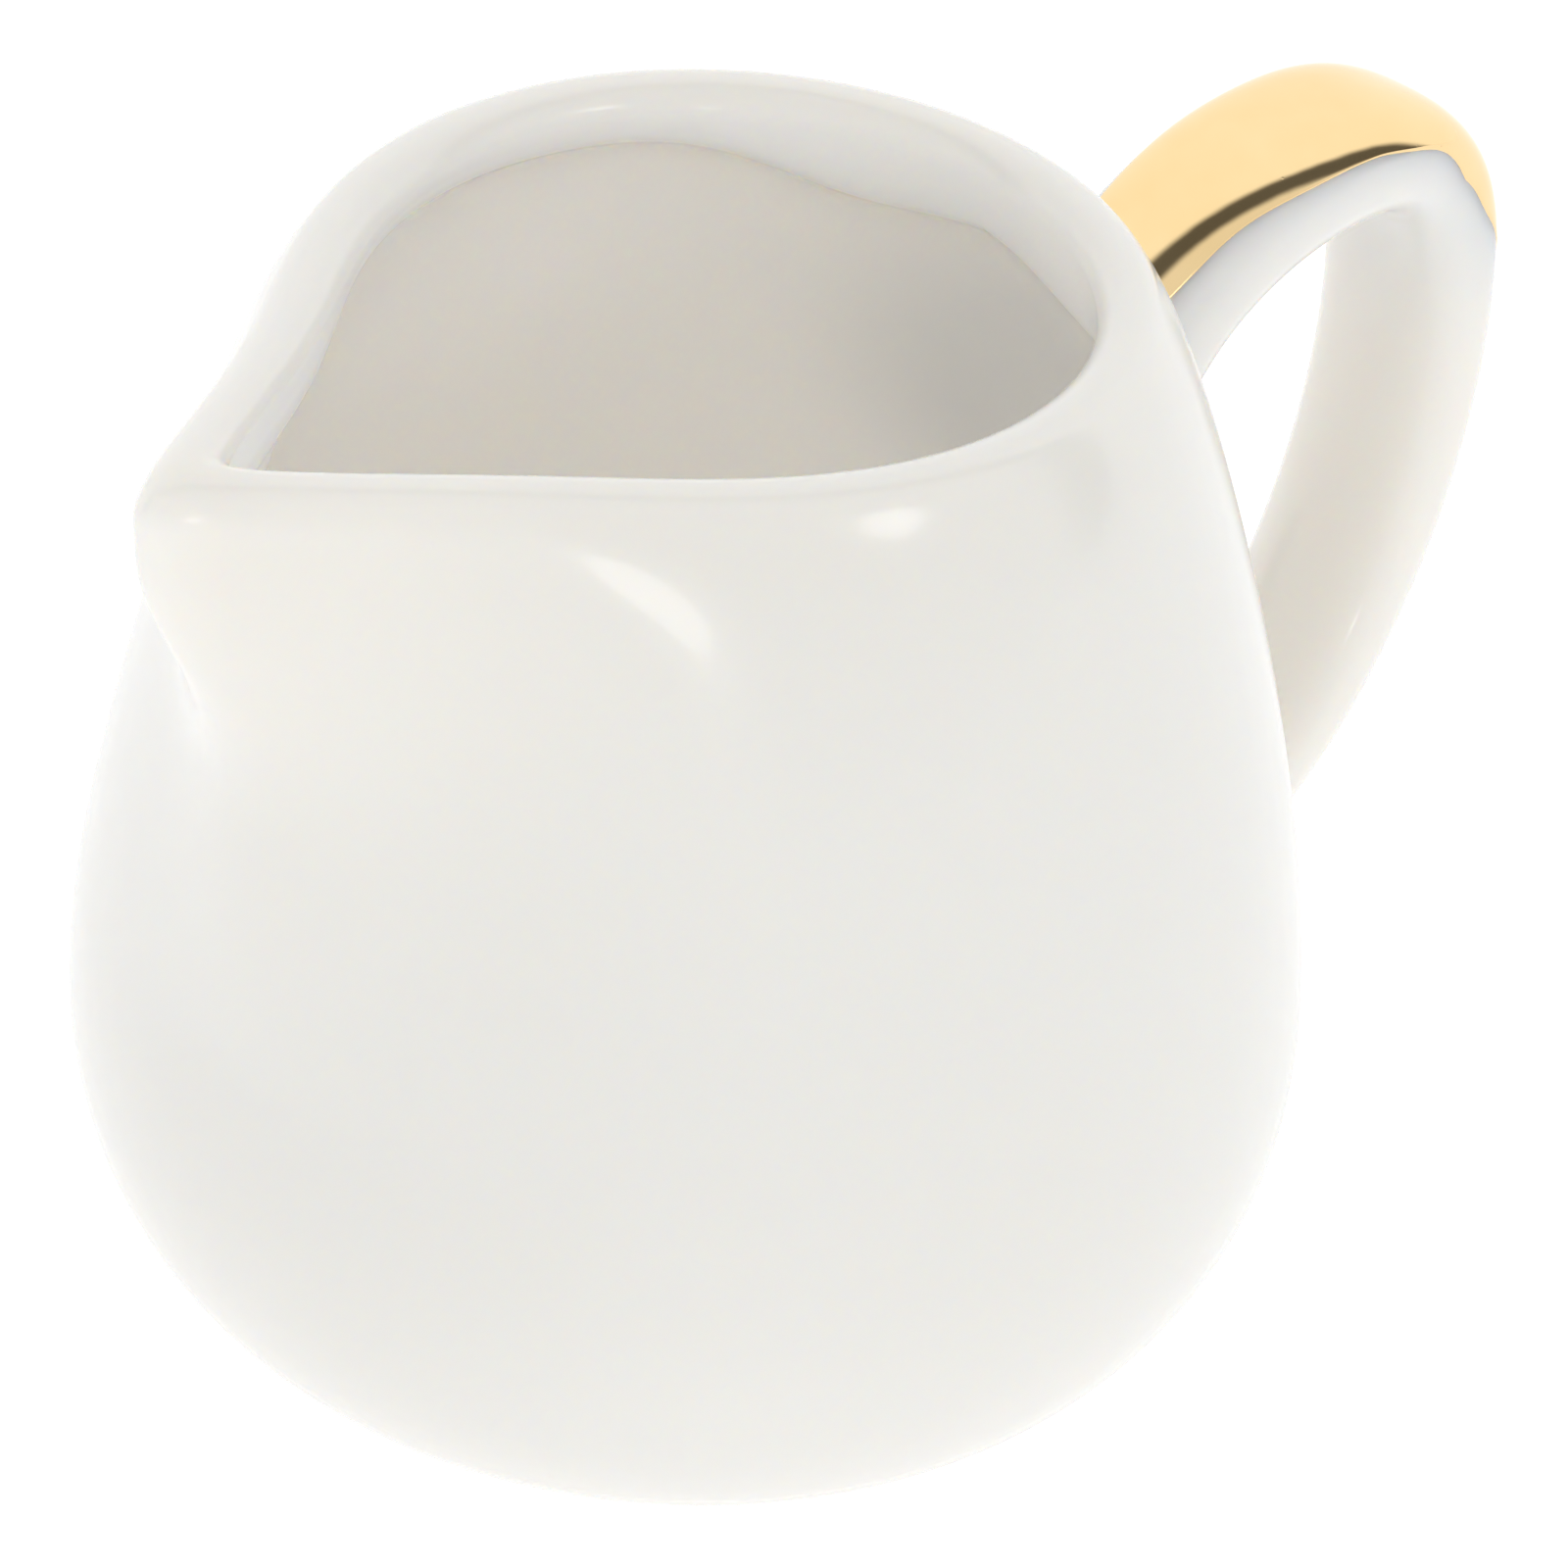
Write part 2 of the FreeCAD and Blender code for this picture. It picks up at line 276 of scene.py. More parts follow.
def makeBisque():
    material, shader = newMaterial("bisque")
    tree = material.node_tree
    link = tree.links.new
    ripple = useGroup(tree, glazeRipple, **{
        "Wave Size": 2500.0, "Pinhole Size": 3000.0, "Tone Size": 300.0})
    colour = place(tree, "ShaderNodeMix", data_type="RGBA")
    colour.inputs["A"].default_value = bisqueFinish["shade"]
    colour.inputs["B"].default_value = bisqueFinish["light"]
    link(ripple.outputs["Tone"], colour.inputs["Factor"])
    link(colour.outputs["Result"], shader.inputs["Base Color"])
    wireBump(tree, shader, ripple.outputs["Height"], bisqueFinish["bump"], bisqueFinish["bumpHeight"])
    shader.inputs["Roughness"].default_value = bisqueFinish["roughness"]
    return material


# the body's glaze carries the painted light on its inside
porcelain = makePorcelain("porcelainGlaze", True, porcelainFinish["glow"])
handlePorcelain = makePorcelain("porcelainHandle", False, porcelainFinish["glow"])
slipPorcelain = makePorcelain("porcelainSlip", False, 0.0)      # too thin for light to soak into
brightGold = makeGold()
bisque = makeBisque()
print("materials ready")


bodyShape = {
    "bellyRadius": 37.0,
    "bellyHeight": 22.1,
    "rimRadius": 23.9,
    "rimHeight": 70.8,
    "footRadius": 18.7,
    "footHeight": 1.1,
    "wall": 3.2,
    "floorTop": 5.0,
    "footFlare": 11.2,
    "bellyPullLow": 12.2,
    "bellyPullHigh": 12.7,
    "neckPull": 7.3,
    "floorRadius": 17.5,
    "floorFlare": 10.0,
    "innerPullLow": 10.3,
    "innerPullHigh": 15.0,
    "lipDrop": 3.0,                      # how far the upright lip goes down inside
    "lipRaise": 1.5,                     # how much higher than that it ends near the spout
    "lipWave": 1.7,                      # depth, place and width of its dip near the handle
    "lipWaveAt": 2.7,
    "lipWaveWidth": 0.35,
    "lipSlope": 1.3,                     # how far it falls towards the handle
    "lipSlopeFrom": 2.0,
    "lipFade": (45.0, 64.0),             # heights between which the lip's wave fades in
    "lipLean": 0.25,
    "lipCorner": 0.9,
    "cornerSteps": 8,
    "shoulderLean": math.radians(52),
    "shoulderPull": 6.0,
    "rimThickness": 3.8,
    "rimGainAtSpout": 1.62,
    "rimArcStart": math.radians(38),
    "rimArcEnd": math.radians(180),
    "spoutReach": 18.4,
    "spoutRise": 2.3,
    "spoutSpread": 0.273,
    "spoutTipRounding": 0.04,
    "throatRounding": 0.14,
    "throatEnds": (5.0, 24.0),           # how far below the rim the spout's keel goes blunt
    "throatNarrowing": 0.3,
    "spoutStart": 31.0,
    "spoutFlow": 1.23,
    "pointsRound": 288,
    "outlineSteps": 44,
    "rimSteps": 22,
    "floorRings": 10,
    "rootAt": (27.0, 0.0, 49.0),         # where the handle's upper end keeps light out of the wall
    "rootSize": 14.0,
    "crowding": 0.62,                    # how much closer the points stand near the spout
}


def spoutShare(angle, growth=1.0, drop=0.0):
    # 1 at the spout, fading to 0 round the rim; narrower and blunter down the throat
    s = bodyShape
    blunt = s["spoutTipRounding"] + s["throatRounding"] * smoothStep(*s["throatEnds"], drop)
    soft = math.hypot(angle, blunt) - s["spoutTipRounding"]
    return math.exp(-soft / (s["spoutSpread"] * (1 - s["throatNarrowing"] * (1 - growth))))


def spoutGrowth(height):
    # 0 low on the body, 1 at the rim
    s = bodyShape
    rise = (height - s["spoutStart"]) / (s["rimHeight"] - s["rimThickness"] / 2 - s["spoutStart"])
    return min(1.0, max(0.0, rise)) ** s["spoutFlow"]


def ringAngles():
    # closer together near the spout
    count = bodyShape["pointsRound"]
    turns = [-math.pi + 2 * math.pi * i / count for i in range(count)]
    return [t - bodyShape["crowding"] * math.sin(t) for t in turns]


def around(radius, height, angle):
    return (-radius * math.cos(angle), -radius * math.sin(angle), height)


def curveSteps(p0, p1, p2, p3, steps):
    return [bezier(p0, p1, p2, p3, (i + 1) / steps) for i in range(steps)]


def outsideOutline(steps):
    s = bodyShape
    half = s["rimThickness"] / 2
    start = (s["footRadius"], s["footHeight"])
    belly = (s["bellyRadius"], s["bellyHeight"])
    turn = s["rimArcStart"]
    top = (s["rimRadius"] - half + half * math.cos(turn), s["rimHeight"] - half + half * math.sin(turn))
    belowTop = (top[0] + s["neckPull"] * math.sin(turn), top[1] - s["neckPull"] * math.cos(turn))
    flared = (start[0] + s["footFlare"], start[1] + 0.15 * s["footFlare"])
    lower = curveSteps(start, flared, (belly[0], belly[1] - s["bellyPullLow"]), belly, steps)
    upper = curveSteps(belly, (belly[0], belly[1] + s["bellyPullHigh"]), belowTop, top, steps)
    return [start] + lower + upper


def insideOutline(steps):
    # a nearly upright lip, a soft turn, the undercut shoulder, the belly, the floor
    s = bodyShape
    lip = s["rimRadius"] - s["rimThickness"]
    lipEnd = (lip + s["lipLean"], s["rimHeight"] - s["rimThickness"] / 2 - s["lipDrop"])
    lean = s["shoulderLean"]
    soft = s["lipCorner"]
    above = (lipEnd[0] - s["lipLean"] * soft / s["lipDrop"], lipEnd[1] + soft)
    below = (lipEnd[0] + soft * math.sin(lean), lipEnd[1] - soft * math.cos(lean))
    belly = (s["bellyRadius"] - s["wall"], s["bellyHeight"])
    end = (s["floorRadius"], s["floorTop"])
    pulled = (below[0] + s["shoulderPull"] * math.sin(lean), below[1] - s["shoulderPull"] * math.cos(lean))
    flared = (end[0] + s["floorFlare"], end[1] + 0.2)
    corner = curveSteps(above, lipEnd, lipEnd, below, s["cornerSteps"])
    upper = curveSteps(below, pulled, (belly[0], belly[1] + s["innerPullHigh"]), belly, steps)
    lower = curveSteps(belly, (belly[0], belly[1] - s["innerPullLow"]), flared, end, steps)
    return [above] + corner + upper + lower


def lipRaise(angle):
    # how much higher than its mean the inner lip ends: it dips in a soft wave near the handle
    s = bodyShape
    wave = math.exp(-((abs(angle) - s["lipWaveAt"]) / s["lipWaveWidth"]) ** 2)
    fall = smoothStep(s["lipSlopeFrom"], math.pi, abs(angle))
    return s["lipRaise"] - s["lipWave"] * wave - s["lipSlope"] * fall


def insideRing(radius, height, reach, angles):
    # a ring of the inside, with the lip's wave fading out down the shoulder
    share = smoothStep(*bodyShape["lipFade"], height)
    ring = wallRing(radius, height, reach, angles)
    return [(x, y, z + lipRaise(a) * share) for (x, y, z), a in zip(ring, angles)]


def wallRing(radius, height, reach, angles):
    growth = spoutGrowth(height)
    rise = bodyShape["spoutRise"]
    drop = bodyShape["rimHeight"] - height
    shares = [growth * spoutShare(a, growth, drop) for a in angles]
    return [around(radius + reach * share, height + rise * share, a) for share, a in zip(shares, angles)]


def rimRing(turn, angles):
    # one ring of the rolled rim: turn 0 faces outward, a quarter turn is its top
    s = bodyShape
    half = s["rimThickness"] / 2
    extra = half * (s["rimGainAtSpout"] - 1)
    ring = []
    for a in angles:
        share = spoutShare(a)
        thick = half + extra * share
        centre = s["rimRadius"] - half + (s["spoutReach"] - extra * math.cos(s["rimArcStart"])) * share
        level = s["rimHeight"] - half + s["spoutRise"] * share
        ring.append(around(centre + thick * math.cos(turn), level + half * math.sin(turn), a))
    return ring


def makeBody():
    s = bodyShape
    angles = ringAngles()
    extra = s["rimThickness"] / 2 * (s["rimGainAtSpout"] - 1)
    innerReach = s["spoutReach"] - extra * (math.cos(s["rimArcStart"]) - math.cos(s["rimArcEnd"]))
    rings = [wallRing(r, z, s["spoutReach"], angles) for r, z in outsideOutline(s["outlineSteps"])]
    outsideCount = len(rings)
    for i in range(1, s["rimSteps"] + 1):
        rings.append(rimRing(mix(s["rimArcStart"], s["rimArcEnd"], i / s["rimSteps"]), angles))
    rimCount = len(rings)
    rings += [insideRing(r, z, innerReach, angles) for r, z in insideOutline(s["outlineSteps"])]
    for i in range(1, s["floorRings"]):
        rings.append(wallRing(s["floorRadius"] * (1 - i / s["floorRings"]), s["floorTop"], 0.0, angles))
    points = [p for ring in rings for p in ring]
    count = len(angles)
    faces = gridFaces(len(rings), count, True)
    middle = len(points)
    points += [(0.0, 0.0, s["floorTop"]), (0.0, 0.0, s["footHeight"])]
    last = (len(rings) - 1) * count
    for j in range(count):
        k = (j + 1) % count
        faces.append((last + j, last + k, middle))
        faces.append((k, j, middle + 1))
    body = meshFrom("jugBody", points, faces, porcelain)
    # mask for the inside's painted light colour, fading in over the rim's top; it also limits the glow
    # weakening near the handle root
    inside = body.data.attributes.new("inside", "FLOAT", "POINT")
    values = []
    for i in range(len(rings)):
        share = smoothStep(outsideCount + s["rimSteps"] * 0.55, rimCount + 3, i)
        values += [share] * count
    inside.data.foreach_set("value", values + [1.0, 0.0])
    # behind the handle's upper end, where no light soaks through, the wall only scatters
    glow = body.data.attributes.new("glow", "FLOAT", "POINT")
    root = Vector(s["rootAt"])
    weights = []
    for p, share in zip(points, values + [1.0, 0.0]):
        near = math.exp(-((Vector(p) - root).length / s["rootSize"]) ** 4) * share
        weights.append(porcelainFinish["glow"] * (1 - near))
    glow.data.foreach_set("value", weights)
    return body


addPiece(makeBody(), "porcelain", "vessel_body", "vessel_glaze")
print("body ready")


handleShape = {
    "start": (27.0, 47.0),
    "startRise": math.radians(50),
    "startPull": 9.0,
    "crest": (50.5, 60.6),
    "crestPulls": (12.0, 9.0),           # how far the curves before and after are pulled
    "outermost": (63.3, 43.4),
    "outermostPulls": (11.5, 15.0),
    "lowest": (42.0, 11.8),
    "lowestPulls": (12.0, 4.0),
    "end": (30.0, 13.6),
    "endRise": math.radians(12),
    "endPull": 4.0,
    "joins": (0.24, 0.54, 0.93),         # where along the handle the curves meet
    "halfWidth": (6.3, 5.4),
    "halfDepth": (4.1, 3.3),
    "roundness": 2.6,
    "crown": 0.08,                       # how much narrower the outer face is at the wall
    "crownEnds": (0.06, 0.22),
    "swell": 0.6,
    "swellLength": 5.0,
    "sunk": 1.0,                         # how far the ends run into the wall
    "rings": 240,
    "pointsRound": 96,
}


def handleCurves():
    # the middle line from the wall over the crest and round the outermost and lowest points
    s = handleShape
    start, crest, outermost, lowest, end = (s[k] for k in ("start", "crest", "outermost", "lowest", "end"))
    rise, fall = s["startRise"], s["endRise"]
    leave = (start[0] + s["startPull"] * math.cos(rise), start[1] + s["startPull"] * math.sin(rise))
    arrive = (end[0] + s["endPull"] * math.cos(fall), end[1] - s["endPull"] * math.sin(fall))
    overCrest, outer, under = s["crestPulls"], s["outermostPulls"], s["lowestPulls"]
    return [
        (start, leave, (crest[0] - overCrest[0], crest[1]), crest),
        (crest, (crest[0] + overCrest[1], crest[1]), (outermost[0], outermost[1] + outer[0]), outermost),
        (outermost, (outermost[0], outermost[1] - outer[1]), (lowest[0] + under[0], lowest[1]), lowest),
        (lowest, (lowest[0] - under[1], lowest[1]), arrive, end)]


middleCurves = handleCurves()


def middlePoint(t):
    ends = (0.0,) + handleShape["joins"] + (1.0,)
    for curve, low, high in zip(middleCurves, ends, ends[1:]):
        if t <= high:
            return bezier(*curve, (t - low) / (high - low))
    return handleShape["end"]


frameCache = {}


def handleFrame(t):
    # middle and outward direction
    if t not in frameCache:
        step = 1e-4
        a = middlePoint(max(0.0, t - step))
        b = middlePoint(min(1.0, t + step))
        x, z = middlePoint(t)
        along = Vector((b[0] - a[0], 0.0, b[1] - a[1])).normalized()
        frameCache[t] = (Vector((x, 0.0, z)), Vector((-along.z, 0.0, along.x)))
    return frameCache[t]


def squared(value):
    return math.copysign(abs(value) ** (2 / handleShape["roundness"]), value)


wallOutline = outsideOutline(120)


def wallRadius(height):
    low, high = 0, len(wallOutline) - 1
    if height <= wallOutline[0][1]:
        return wallOutline[0][0]
    if height >= wallOutline[high][1]:
        return wallOutline[high][0]
    while high - low > 1:
        middle = (low + high) // 2
        if wallOutline[middle][1] <= height:
            low = middle
        else:
            high = middle
    a, b = wallOutline[low], wallOutline[high]
    return mix(a[0], b[0], (height - a[1]) / (b[1] - a[1]))


def wallGap(point):
    return math.hypot(point[0], point[1]) - wallRadius(point[2])


def handlePoint(t, turn, grow=0.0):
    # turn 0 is the middle of the outer face
    s = handleShape
    middle, outward = handleFrame(t)
    up, side = squared(math.cos(turn)), squared(math.sin(turn))
    narrow = 1 - s["crown"] * (1 - smoothStep(*s["crownEnds"], t)) * smoothStep(-1.0, 1.0, up)

    def at(extra):
        depth = (mix(*s["halfDepth"], t) + extra) * up
        width = (mix(*s["halfWidth"], t) * narrow + extra) * side
        return middle + outward * depth + Vector((0.0, width, 0.0))

    gap = max(0.0, wallGap(at(0.0)))
    return at(grow + s["swell"] * math.exp(-(gap / s["swellLength"]) ** 2))


def reachWall(turn, gap, fromEnd):
    # how far along the handle a strand is when it stands gap off the wall
    inside, outside = (1.0, 0.7) if fromEnd else (0.0, 0.3)
    for _ in range(26):
        middle = (inside + outside) / 2
        if wallGap(handlePoint(middle, turn)) < gap:
            inside = middle
        else:
            outside = middle
    return (inside + outside) / 2


def makeHandle():
    s = handleShape
    rings, count = s["rings"], s["pointsRound"]
    turns = [2 * math.pi * k / count for k in range(count)]
    starts = [reachWall(turn, -s["sunk"], False) for turn in turns]
    ends = [reachWall(turn, -s["sunk"], True) for turn in turns]
    points = []
    for i in range(rings):
        share = i / (rings - 1)
        points += [tuple(handlePoint(mix(a, b, share), turn)) for a, b, turn in zip(starts, ends, turns)]
    faces = gridFaces(rings, count, True)
    for first in (0, (rings - 1) * count):
        ring = points[first:first + count]
        middle = tuple(sum(p[axis] for p in ring) / count for axis in range(3))
        tip = len(points)
        points.append(middle)
        faces += [(first + k, first + (k + 1) % count, tip) for k in range(count)]
    return meshFrom("jugHandle", points, faces, handlePorcelain)


addPiece(makeHandle(), "porcelain", "handle", "handle_glaze")
print("handle ready")


jointShape = {
    "sizeOver": 0.55,                    # fillet across the outer face
    "sizeUnder": 2.0,                    # and round the flanks and underneath
    "turnSpan": (math.radians(45), math.radians(95)),
    "steps": 10,
    "buried": 0.5,
    "lift": 0.012,
}


def wallArc():
    lengths = [0.0]
    for a, b in zip(wallOutline, wallOutline[1:]):
        lengths.append(lengths[-1] + math.hypot(b[0] - a[0], b[1] - a[1]))
    return lengths


wallLengths = wallArc()


def lengthAtHeight(height):
    for i in range(len(wallOutline) - 1):
        if wallOutline[i][1] <= height <= wallOutline[i + 1][1]:
            share = (height - wallOutline[i][1]) / (wallOutline[i + 1][1] - wallOutline[i][1])
            return mix(wallLengths[i], wallLengths[i + 1], share)
    return 0.0


def outlineAtLength(length):
    for i in range(len(wallOutline) - 1):
        if wallLengths[i] <= length <= wallLengths[i + 1]:
            share = (length - wallLengths[i]) / (wallLengths[i + 1] - wallLengths[i])
            return tuple(mix(a, b, share) for a, b in zip(wallOutline[i], wallOutline[i + 1]))
    return wallOutline[-1]


def onWall(across, length, lift):
    # a point on the body's outside, from its distance round and up the wall
    radius, height = outlineAtLength(length)
    angle = across / radius
    return Vector(((radius + lift) * math.cos(angle), (radius + lift) * math.sin(angle), height))


def makeJoint(name, fromEnd):
    s = jointShape
    count = handleShape["pointsRound"]
    turns = [2 * math.pi * k / count for k in range(count)]
    foot = []
    for turn in turns:
        p = handlePoint(reachWall(turn, 0.0, fromEnd), turn)
        foot.append((math.atan2(p.y, p.x) * wallRadius(p.z), lengthAtHeight(p.z)))
    centre = tuple(sum(f[axis] for f in foot) / count for axis in (0, 1))
    points = []
    for k, turn in enumerate(turns):
        bend = abs(math.remainder(turn, 2 * math.pi))
        over = 1 - smoothStep(*s["turnSpan"], bend)
        size = mix(s["sizeUnder"], s["sizeOver"], 0.0 if fromEnd else over)
        before, after = foot[k - 1], foot[(k + 1) % count]
        out = Vector((after[1] - before[1], before[0] - after[0])).normalized()
        if out.dot(Vector((foot[k][0] - centre[0], foot[k][1] - centre[1]))) < 0:
            out = -out
        a = handlePoint(reachWall(turn, size, fromEnd), turn, s["lift"])
        b = onWall(*foot[k], s["lift"])
        c = onWall(foot[k][0] + out.x * size, foot[k][1] + out.y * size, s["lift"])
        inner = onWall(foot[k][0] - out.x * s["buried"], foot[k][1] - out.y * s["buried"], -s["buried"])
        for i in range(s["steps"] + 1):
            t = i / s["steps"]
            points.append(tuple(a * (1 - t) ** 2 + b * 2 * t * (1 - t) + c * t * t))
        points.append(tuple(inner))
    rows = s["steps"] + 2
    faces = []
    for k in range(count):
        n = (k + 1) % count
        for i in range(rows):
            j = (i + 1) % rows
            faces.append((k * rows + i, n * rows + i, n * rows + j, k * rows + j))
    return meshFrom(name, points, faces, slipPorcelain)


addPiece(makeJoint("upperJoint", False), "slip", "upper_handle_joint")
addPiece(makeJoint("lowerJoint", True), "slip", "lower_handle_joint")
print("joints ready")


gildingShape = {
    "thickness": 0.07,
    "startGap": 0.45,                    # the gold starts this far off the wall
    "from": 0.07,                        # place along the handle where the gold starts
    "widest": 0.36,                      # where it reaches furthest down the flanks
    "to": 0.51,                          # and where it ends in a rounded tongue
    "startTurn": 33.0,                   # degrees that it covers each side of the middle
    "widestTurn": 86.0,
    "tongueRoundness": 2.2,
    "tipTurn": 4.0,
    "wave": 2.0,                         # degrees that the painted edge wanders
    "waveLength": 38.0,
    "rippleLength": 83.0,
    "bead": 0.35,                        # how far in from its edge the gold is rounded off
    "beadEnds": 12,
    "beadScale": 6.0,
    "sunk": 0.01,
    "alongSteps": 260,
    "acrossSteps": 90,
    "buried": 0.12,
}


def goldEdge(t, side):
    # the half turn that the gold covers, with a slightly wavering hand-painted line
    g = gildingShape
    if t <= g["widest"]:
        turn = mix(g["startTurn"], g["widestTurn"], (t - g["from"]) / (g["widest"] - g["from"]))
    else:
        past = min(1.0, (t - g["widest"]) / (g["to"] - g["widest"]))
        turn = g["widestTurn"] * math.sqrt(1 - past ** g["tongueRoundness"])
    wave = math.sin(t * g["waveLength"] + side) + 0.5 * math.sin(t * g["rippleLength"] + 2.3 * side)
    return math.radians(max(g["tipTurn"], turn + wave * g["wave"] * min(1.0, turn / 30)))


def makeGilding():
    s = gildingShape
    rows, columns = s["alongSteps"], s["acrossSteps"]
    end = s["to"]
    layers = []
    for layer in (0, 1):
        grid = []
        for i in range(rows):
            share = i / (rows - 1)
            for j in range(columns):
                side = 2 * j / (columns - 1) - 1
                guess = mix(s["from"], end, share)
                turn = side * goldEdge(guess, math.copysign(1.0, side))
                start = reachWall(turn, s["startGap"], False)
                t = mix(start, end, share)
                turn = side * goldEdge(t, math.copysign(1.0, side))
                fromEnd = min(share, 1 - share) * s["beadEnds"]
                fromEdge = min(1 - abs(side), fromEnd) * s["beadScale"]
                rounded = math.sqrt(max(0.0, 1 - (1 - min(1.0, fromEdge / s["bead"])) ** 2))
                grow = s["thickness"] * rounded - s["sunk"] if layer == 0 else -s["buried"]
                grid.append(tuple(handlePoint(t, turn, grow)))
        layers += grid
    half = rows * columns
    faces = gridFaces(rows, columns, False)
    faces += [tuple(half + v for v in reversed(face)) for face in gridFaces(rows, columns, False)]
    border = [j for j in range(columns)]
    border += [i * columns + columns - 1 for i in range(1, rows)]
    border += [(rows - 1) * columns + j for j in range(columns - 2, -1, -1)]
    border += [i * columns for i in range(rows - 2, 0, -1)]
    for k, v in enumerate(border):
        n = border[(k + 1) % len(border)]
        faces.append((v, n, half + n, half + v))
    return meshFrom("handleGilding", layers, faces, brightGold)


addPiece(makeGilding(), "gold", "handle_gilding")
print("gilding ready")


footShape = {
    "radius": 18.45,
    "width": 3.0,
    "height": 1.1,
    "soft": 0.45,
    "steps": 8,
    "overlap": 0.1,
    "glaze": 0.25,
    "pool": 0.25,                        # how deep the glaze pools against the ring, and how far in
    "poolReach": 0.8,
    "glazeRings": 24,
    "pointsRound": 192,
}


def makeFootRing():
    # a low ring with softly rounded edges, closed on itself
    s = footShape
    outer, inner, soft = s["radius"], s["radius"] - s["width"], s["soft"]
    section = [(outer, s["height"] + s["overlap"])]
    for i in range(s["steps"] + 1):
        turn = math.pi / 2 * i / s["steps"]
        section.append((outer - soft + soft * math.cos(turn), soft - soft * math.sin(turn)))
    for i in range(s["steps"] + 1):
        turn = math.pi / 2 * i / s["steps"]
        section.append((inner + soft - soft * math.sin(turn), soft - soft * math.cos(turn)))
    section.append((inner, s["height"] + s["overlap"]))
    count = s["pointsRound"]
    points = []
    for r, z in section:
        points += [around(r, z, 2 * math.pi * k / count) for k in range(count)]
    faces = gridFaces(len(section), count, True)
    last = (len(section) - 1) * count
    faces += [(last + k, last + (k + 1) % count, (k + 1) % count, k) for k in range(count)]
    return meshFrom("footRing", points, faces, bisque)


def makeBaseGlaze():
    # the glazed recess inside the ring, dished a little, with the glaze pooled against the ring
    s = footShape
    radius = s["radius"] - s["width"]
    count = s["pointsRound"]
    rings = s["glazeRings"]
    points = []
    for i in range(rings):
        share = 1 - i / rings
        pool = s["pool"] * math.exp(-(1 - share) * radius / s["poolReach"])
        points += [around(radius * share + 0.02, s["height"] - s["glaze"] - pool, 2 * math.pi * k / count)
                   for k in range(count)]
    points.append((0.0, 0.0, s["height"] - s["glaze"]))
    tip = len(points) - 1
    last = (rings - 1) * count
    faces = gridFaces(rings, count, True)
    faces += [(last + k, last + (k + 1) % count, tip) for k in range(count)]
    back = len(points)
    points += [around(radius + 0.02, s["height"] + 0.05, 2 * math.pi * k / count) for k in range(count)]
    faces += [(k, (k + 1) % count, back + (k + 1) % count, back + k) for k in range(count)]
    faces.append(tuple(back + k for k in range(count)))
    return meshFrom("baseGlaze", points, faces, slipPorcelain)


addPiece(makeFootRing(), "bisque", "foot_ring")
addPiece(makeBaseGlaze(), "clear_glaze", "base_glaze")
print("foot ready")


studio = {
    "backSweep": 1.12,                   # brightness of the white sweep behind the jug
    "frontRoom": 0.90,                   # of the soft boxes on the camera's side
    "gap": 0.12,                         # and of the dim gap overhead between the two
    "gapSide": (0.66, 0.75, 0.03),       # points away from the camera's side
    "gapSpan": (-0.16, -0.04, 0.11, 0.21),
    "floorGlow": 0.3,
    "floorSize": 4.0,
    "floorColour": (0.93, 0.93, 0.93, 1.0),
    "white": (1.0, 1.0, 1.0, 1.0),
    "lampTarget": (0.0, 0.0, 0.04),
    "diffuseBounces": 12,                # light has to find its way out of the jug
    "allBounces": 16,
    "lamps": {
        "lipLamp": {"at": (-0.50, -0.72, 0.15), "size": 0.09, "power": 0.10},
        "shoulderLamp": {"at": (0.03, -0.83, 0.45), "size": 0.20, "power": 0.32},
    },
}


def makeFloor():
    size = studio["floorSize"]
    points = [(-size, -size, 0), (size, -size, 0), (size, size, 0), (-size, size, 0)]
    mesh = bpy.data.meshes.new("floor")
    mesh.from_pydata(points, [], [(0, 1, 2, 3)])
    floor = bpy.data.objects.new("floor", mesh)
    bpy.context.scene.collection.objects.link(floor)
    material, shader = newMaterial("paleFloor")
    shader.inputs["Base Color"].default_value = studio["floorColour"]
    shader.inputs["Roughness"].default_value = 0.9
    shader.inputs["Specular IOR Level"].default_value = 0.0
    shader.inputs["Emission Color"].default_value = studio["white"]
    shader.inputs["Emission Strength"].default_value = studio["floorGlow"]   # a table lit from below
    mesh.materials.append(material)


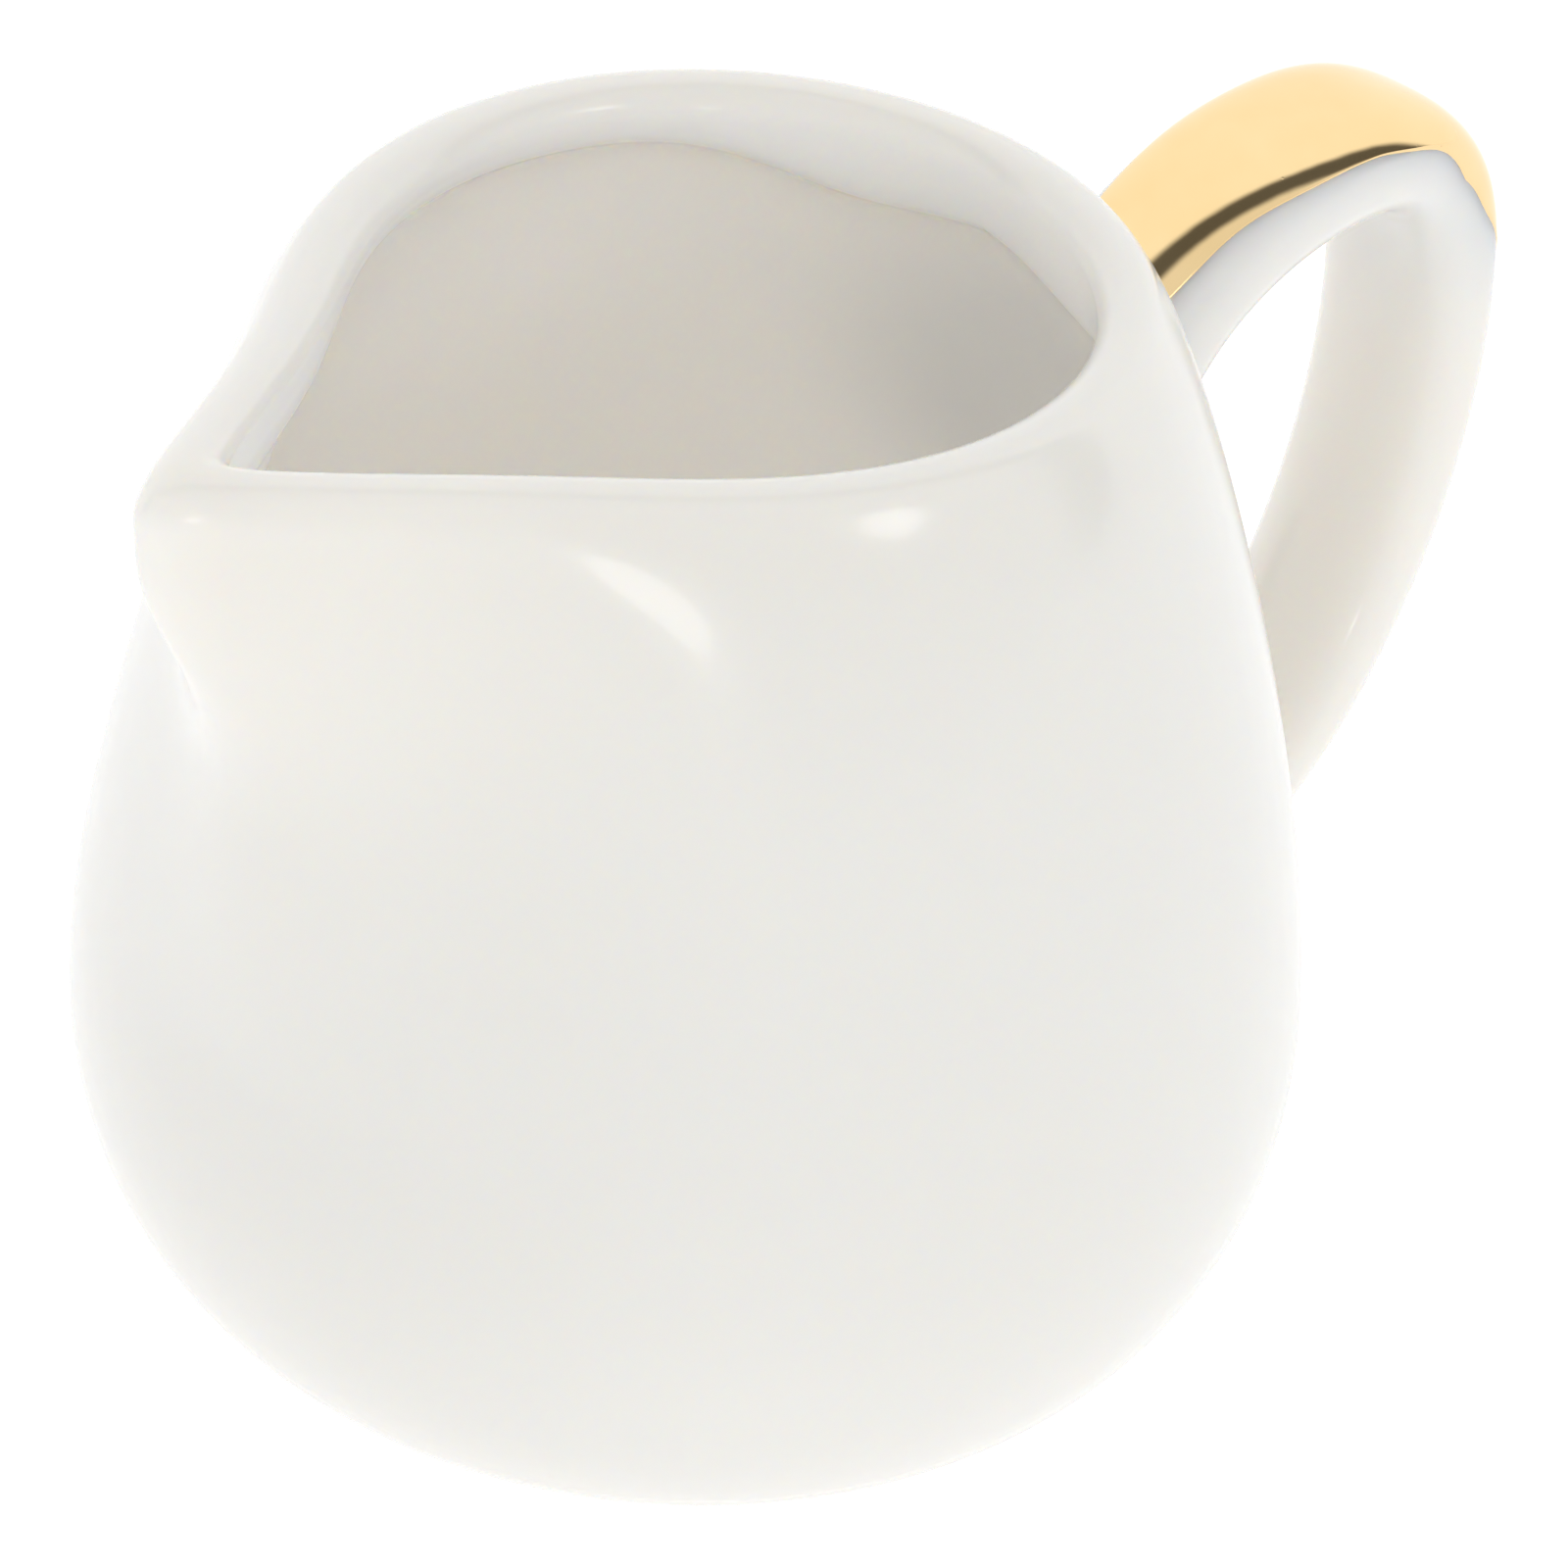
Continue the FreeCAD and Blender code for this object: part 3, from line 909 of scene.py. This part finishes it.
def makeWorld():
    # a white room: a sweep behind, soft boxes in front, and a dim gap between them overhead
    world = bpy.data.worlds.new("studioWorld")
    bpy.context.scene.world = world
    world.use_nodes = True
    tree = world.node_tree
    link = tree.links.new
    back = tree.nodes["Background"]
    where = tree.nodes.new("ShaderNodeTexCoord")
    side = place(tree, "ShaderNodeVectorMath", operation="DOT_PRODUCT")
    side.inputs[1].default_value = studio["gapSide"]
    link(where.outputs["Generated"], side.inputs[0])
    frontEdge, gapStart, gapEnd, sweepEdge = studio["gapSpan"]

    def ramp(start, end, low, high):
        node = place(tree, "ShaderNodeMapRange", interpolation_type="SMOOTHSTEP")
        node.inputs["From Min"].default_value = start
        node.inputs["From Max"].default_value = end
        node.inputs["To Min"].default_value = low
        node.inputs["To Max"].default_value = high
        link(side.outputs["Value"], node.inputs["Value"])
        return node.outputs["Result"]

    front = ramp(frontEdge, gapStart, studio["frontRoom"], studio["gap"])
    sweep = ramp(gapEnd, sweepEdge, studio["gap"], studio["backSweep"])
    brighter = place(tree, "ShaderNodeMath", operation="MAXIMUM")
    link(front, brighter.inputs[0])
    link(sweep, brighter.inputs[1])
    link(brighter.outputs["Value"], back.inputs["Strength"])
    back.inputs["Color"].default_value = studio["white"]


def makeLights():
    target = Vector(studio["lampTarget"])
    for name, values in studio["lamps"].items():
        light = bpy.data.lights.new(name, "AREA")
        light.shape = "DISK"
        light.size = values["size"]
        light.energy = values["power"]
        obj = bpy.data.objects.new(name, light)
        bpy.context.scene.collection.objects.link(obj)
        obj.location = values["at"]
        obj.rotation_euler = (target - Vector(values["at"])).to_track_quat("-Z", "Y").to_euler()


cameraPlace = {
    "azimuth": math.radians(-47.8),      # from the -Y side, towards the spout
    "elevation": math.radians(35.3),
    "roll": math.radians(4.8),
    "aim": (0.0, 0.0, 33.3),             # design millimetres, before the small slide below
    "slide": (5.1, 1.7),                 # to the right and up in the picture
    "distance": 326.6,
    "lens": 126.7,
}


def makeCamera():
    c = cameraPlace
    az, el, roll = c["azimuth"], c["elevation"], c["roll"]
    back = Vector((math.sin(az) * math.cos(el), -math.cos(az) * math.cos(el), math.sin(el)))
    level = Vector((math.cos(az), math.sin(az), 0.0))
    up = back.cross(level)
    right = level * math.cos(roll) + up * math.sin(roll)
    above = up * math.cos(roll) - level * math.sin(roll)
    aim = Vector(c["aim"]) + right * c["slide"][0] + above * c["slide"][1]
    data = bpy.data.cameras.new("camera")
    data.lens = c["lens"]
    data.clip_start = 0.01
    camera = bpy.data.objects.new("camera", data)
    bpy.context.scene.collection.objects.link(camera)
    turn = Matrix((right, above, back)).transposed().to_4x4()
    camera.matrix_world = Matrix.Translation((aim + back * c["distance"]) * unit) @ turn
    bpy.context.scene.camera = camera


makeFloor()
makeWorld()
makeLights()
makeCamera()
bpy.context.scene.cycles.diffuse_bounces = studio["diffuseBounces"]
bpy.context.scene.cycles.max_bounces = studio["allBounces"]
bpy.context.scene.view_settings.view_transform = "Standard"
print("stage ready")
